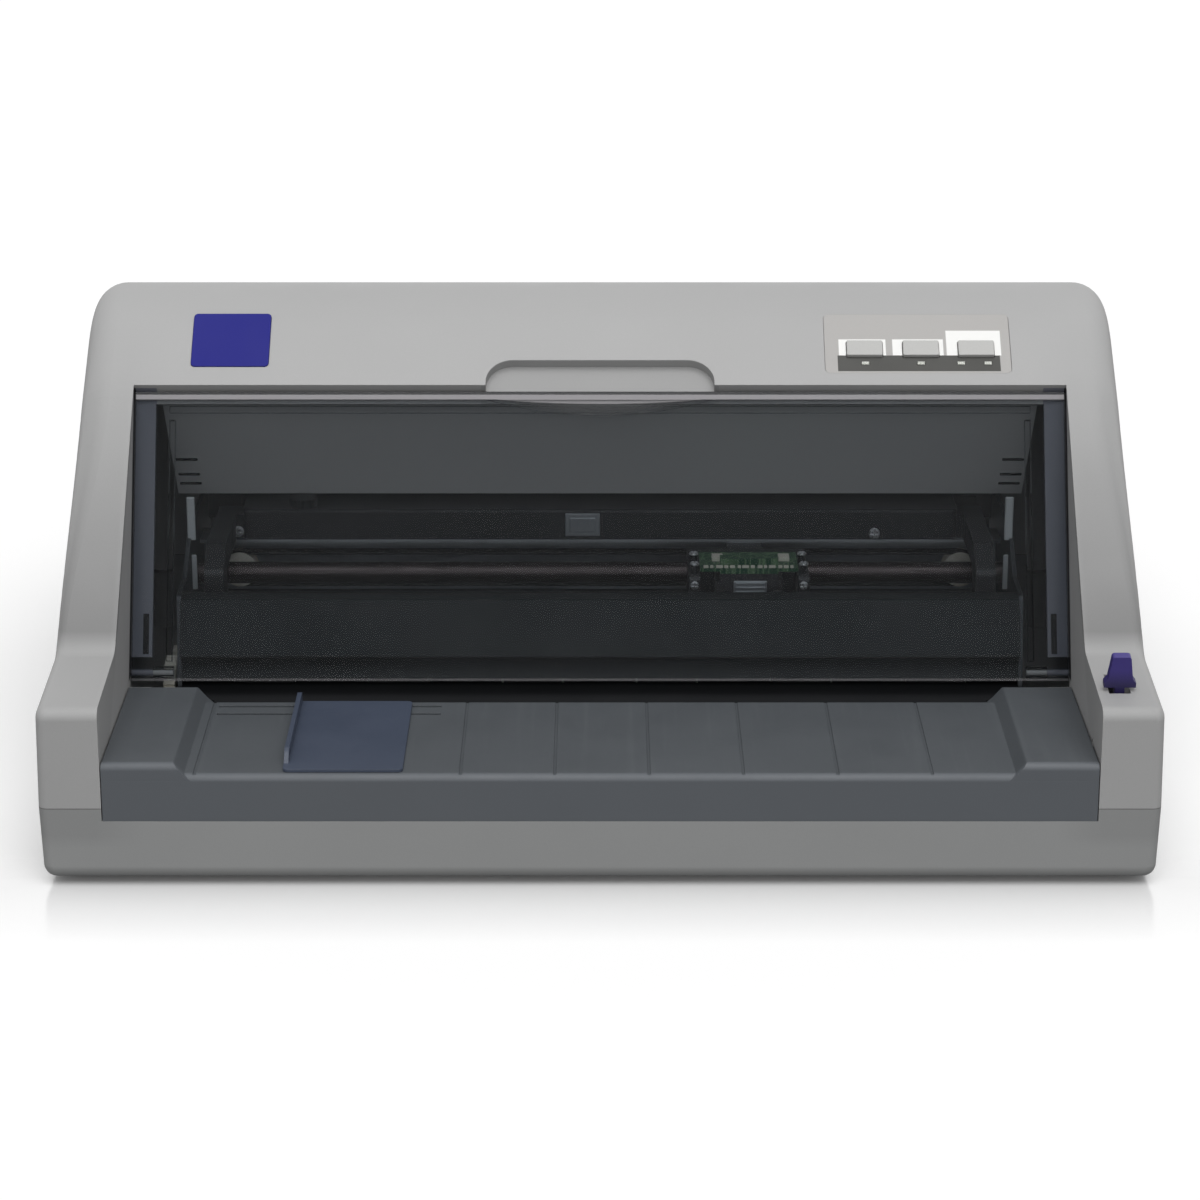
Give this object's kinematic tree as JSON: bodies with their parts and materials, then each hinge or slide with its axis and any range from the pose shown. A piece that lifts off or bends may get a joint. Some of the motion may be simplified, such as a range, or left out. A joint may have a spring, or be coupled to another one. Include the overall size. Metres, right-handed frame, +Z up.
{
  "type": "dot matrix printer",
  "caption": "Desktop impact printer with a flat front paper table, a hinged smoked cover, a rear cover, a panel with buttons and a travelling print carriage.",
  "frame": {"origin": "bottom centre, on the plane that the feet stand on", "axes": "+X to the printer's right seen from the front, +Y to the back, +Z up"},
  "size_m": [0.468, 0.35, 0.207],
  "materials": {
    "housing": "fine satin texture",
    "cover": "smoked translucent gloss",
    "table": "fine matt texture",
    "guide": "fine matt texture",
    "lever": "satin",
    "button": "satin",
    "panel": "satin",
    "badge": "satin",
    "light": "clear lens",
    "rubber": "matt",
    "roller": "matt ground",
    "steel": "zinc plated",
    "shaft": "ground and polished",
    "dark_plastic": "fine matt texture",
    "gear": "moulded acetal",
    "board": "solder mask",
    "motor": "satin",
    "head": "cast",
    "belt": "matt",
    "screw": "zinc plated"
  },
  "bodies": {
    "casing": {"lower_case": "housing", "upper_case": "housing", "case_screws": "screw", "rubber_feet": "rubber", "paper_table": "table", "panel_plate": "panel", "panel_lights": "light", "panel_board": "board", "badge_plate": "badge", "ac_inlet": "dark_plastic", "parallel_connector": "steel", "usb_connector": "steel", "power_switch_body": "dark_plastic", "main_board": "board", "power_supply": "board", "side_frame_left": "steel", "side_frame_right": "steel", "rear_frame": "steel", "roller_bushes": "gear", "lower_paper_guide": "steel", "upper_paper_guide": "steel", "front_paper_guide": "dark_plastic", "platen_bar": "steel", "feed_motor": "motor", "tractor_guide_shaft": "shaft", "paper_support": "dark_plastic", "guide_shaft": "shaft", "timing_belt": "belt", "carriage_motor": "motor", "ribbon_cartridge": "dark_plastic"},
    "cover": {"printer_cover": "cover"},
    "back_cover": {"rear_cover": "housing"},
    "guide": {"edge_guide": "guide"},
    "lever": {"release_lever": "lever"},
    "key_left": {"button_left": "button"},
    "key_middle": {"button_middle": "button"},
    "key_right": {"button_right": "button"},
    "rocker": {"power_rocker": "dark_plastic"},
    "carriage": {"carriage_body": "dark_plastic", "print_head": "head", "ribbon_mask": "steel"},
    "belt_drive": {"drive_pulley": "gear"},
    "belt_idler": {"idler_pulley": "gear"},
    "front_roller": {"front_feed_roller": "roller"},
    "rear_roller": {"rear_feed_roller": "roller"},
    "front_pinch": {"front_pinch_rollers": "roller"},
    "rear_pinch": {"rear_pinch_rollers": "roller"},
    "pinion": {"motor_pinion": "gear"},
    "idler": {"idler_gear": "gear"},
    "transfer_front": {"transfer_gear_front": "gear"},
    "transfer_middle": {"transfer_gear_middle": "gear"},
    "transfer_rear": {"transfer_gear_rear": "gear"},
    "tractor_shaft": {"tractor_drive_shaft": "shaft"},
    "left_tractor": {"tractor_left": "dark_plastic"},
    "right_tractor": {"tractor_right": "dark_plastic"},
    "left_lid": {"tractor_lid_left": "dark_plastic"},
    "right_lid": {"tractor_lid_right": "dark_plastic"},
    "left_sprocket": {"sprocket_left": "gear"},
    "right_sprocket": {"sprocket_right": "gear"},
    "ribbon_drive": {"ribbon_knob": "dark_plastic"}
  },
  "joints": [
    {"name": "cover_hinge", "type": "hinge", "parent": "casing", "child": "cover", "pos_m": [0, -0.06847, 0.05716], "axis": [1, 0, 0], "range_deg": [0, 95]},
    {"name": "rear_cover_hinge", "type": "hinge", "parent": "casing", "child": "back_cover", "pos_m": [0, 0.0894, 0.19364], "axis": [1, 0, 0], "range_deg": [0, 80]},
    {"name": "edge_guide_slide", "type": "slide", "parent": "casing", "child": "guide", "axis": [1, 0, 0], "range_m": [-0.034, 0.0124]},
    {"name": "release_lever_hinge", "type": "hinge", "parent": "casing", "child": "lever", "pos_m": [0.2167, -0.148, 0.054], "axis": [1, 0, 0], "range_deg": [-24, 0]},
    {"name": "button_left_press", "type": "slide", "parent": "casing", "child": "key_left", "axis": [0, 0.6225, -0.7826], "range_m": [0, 0.0008], "stiffness_N_per_m": 400},
    {"name": "button_middle_press", "type": "slide", "parent": "casing", "child": "key_middle", "axis": [0, 0.6225, -0.7826], "range_m": [0, 0.0008], "stiffness_N_per_m": 400},
    {"name": "button_right_press", "type": "slide", "parent": "casing", "child": "key_right", "axis": [0, 0.6225, -0.7826], "range_m": [0, 0.0008], "stiffness_N_per_m": 400},
    {"name": "power_rocker_hinge", "type": "hinge", "parent": "casing", "child": "rocker", "pos_m": [0.225, -0.083, 0.0195], "axis": [0, 0, 1], "range_deg": [0, 14]},
    {"name": "carriage_slide", "type": "slide", "parent": "casing", "child": "carriage", "axis": [1, 0, 0], "range_m": [-0.203, 0.069]},
    {"name": "drive_pulley_spin", "type": "hinge", "parent": "casing", "child": "belt_drive", "pos_m": [-0.168, 0.031, 0.074], "axis": [0, 1, 0], "range_deg": [-1532, 522]},
    {"name": "idler_pulley_spin", "type": "hinge", "parent": "casing", "child": "belt_idler", "pos_m": [0.168, 0.031, 0.074], "axis": [0, 1, 0], "range_deg": [-1532, 522]},
    {"name": "front_roller_spin", "type": "hinge", "parent": "casing", "child": "front_roller", "pos_m": [0, -0.05, 0.0411], "axis": [1, 0, 0], "continuous": true},
    {"name": "idler_gear_spin", "type": "hinge", "parent": "casing", "child": "idler", "pos_m": [0, -0.0225, 0.0411], "axis": [1, 0, 0], "continuous": true},
    {"name": "rear_roller_spin", "type": "hinge", "parent": "casing", "child": "rear_roller", "pos_m": [0, 0.005, 0.0411], "axis": [1, 0, 0], "continuous": true},
    {"name": "front_pinch_spin", "type": "hinge", "parent": "casing", "child": "front_pinch", "pos_m": [0, -0.05, 0.05625], "axis": [1, 0, 0], "continuous": true},
    {"name": "rear_pinch_spin", "type": "hinge", "parent": "casing", "child": "rear_pinch", "pos_m": [0, 0.005, 0.05625], "axis": [1, 0, 0], "continuous": true},
    {"name": "motor_pinion_spin", "type": "hinge", "parent": "casing", "child": "pinion", "pos_m": [0, -0.0225, 0.0246], "axis": [1, 0, 0], "continuous": true},
    {"name": "transfer_front_spin", "type": "hinge", "parent": "casing", "child": "transfer_front", "pos_m": [0, 0.0355, 0.0411], "axis": [1, 0, 0], "continuous": true},
    {"name": "transfer_middle_spin", "type": "hinge", "parent": "casing", "child": "transfer_middle", "pos_m": [0, 0.0645, 0.0411], "axis": [1, 0, 0], "continuous": true},
    {"name": "transfer_rear_spin", "type": "hinge", "parent": "casing", "child": "transfer_rear", "pos_m": [0, 0.0935, 0.0411], "axis": [1, 0, 0], "continuous": true},
    {"name": "tractor_shaft_spin", "type": "hinge", "parent": "casing", "child": "tractor_shaft", "pos_m": [0, 0.124, 0.0411], "axis": [1, 0, 0], "continuous": true},
    {"name": "left_tractor_slide", "type": "slide", "parent": "casing", "child": "left_tractor", "axis": [1, 0, 0], "range_m": [-0.038, 0.095]},
    {"name": "right_tractor_slide", "type": "slide", "parent": "casing", "child": "right_tractor", "axis": [1, 0, 0], "range_m": [-0.095, 0.038]},
    {"name": "left_lid_hinge", "type": "hinge", "parent": "left_tractor", "child": "left_lid", "pos_m": [-0.1416, 0.104, 0.0519], "axis": [0, -1, 0], "range_deg": [0, 100]},
    {"name": "right_lid_hinge", "type": "hinge", "parent": "right_tractor", "child": "right_lid", "pos_m": [0.1416, 0.104, 0.0519], "axis": [0, 1, 0], "range_deg": [0, 100]},
    {"name": "left_sprocket_spin", "type": "hinge", "parent": "left_tractor", "child": "left_sprocket", "pos_m": [-0.13, 0.124, 0.0411], "axis": [1, 0, 0], "continuous": true},
    {"name": "right_sprocket_spin", "type": "hinge", "parent": "right_tractor", "child": "right_sprocket", "pos_m": [0.13, 0.124, 0.0411], "axis": [1, 0, 0], "continuous": true},
    {"name": "ribbon_knob_spin", "type": "hinge", "parent": "casing", "child": "ribbon_drive", "pos_m": [-0.138, 0.0325, 0.1038], "axis": [0, 0, 1], "continuous": true}
  ],
  "couplings": [
    {"joint": "drive_pulley_spin", "follows": "carriage_slide", "rad_per_m": 131.58},
    {"joint": "idler_pulley_spin", "follows": "carriage_slide", "rad_per_m": 131.58},
    {"joint": "idler_gear_spin", "follows": "front_roller_spin", "ratio": -1.3913},
    {"joint": "rear_roller_spin", "follows": "front_roller_spin", "ratio": 1},
    {"joint": "front_pinch_spin", "follows": "front_roller_spin", "ratio": -1.5},
    {"joint": "rear_pinch_spin", "follows": "front_roller_spin", "ratio": -1.5},
    {"joint": "motor_pinion_spin", "follows": "front_roller_spin", "ratio": 3.2},
    {"joint": "transfer_front_spin", "follows": "front_roller_spin", "ratio": -1.1034},
    {"joint": "transfer_middle_spin", "follows": "front_roller_spin", "ratio": 1.1034},
    {"joint": "transfer_rear_spin", "follows": "front_roller_spin", "ratio": -1.1034},
    {"joint": "tractor_shaft_spin", "follows": "front_roller_spin", "ratio": 1},
    {"joint": "left_sprocket_spin", "follows": "front_roller_spin", "ratio": 1},
    {"joint": "right_sprocket_spin", "follows": "front_roller_spin", "ratio": 1}
  ]
}
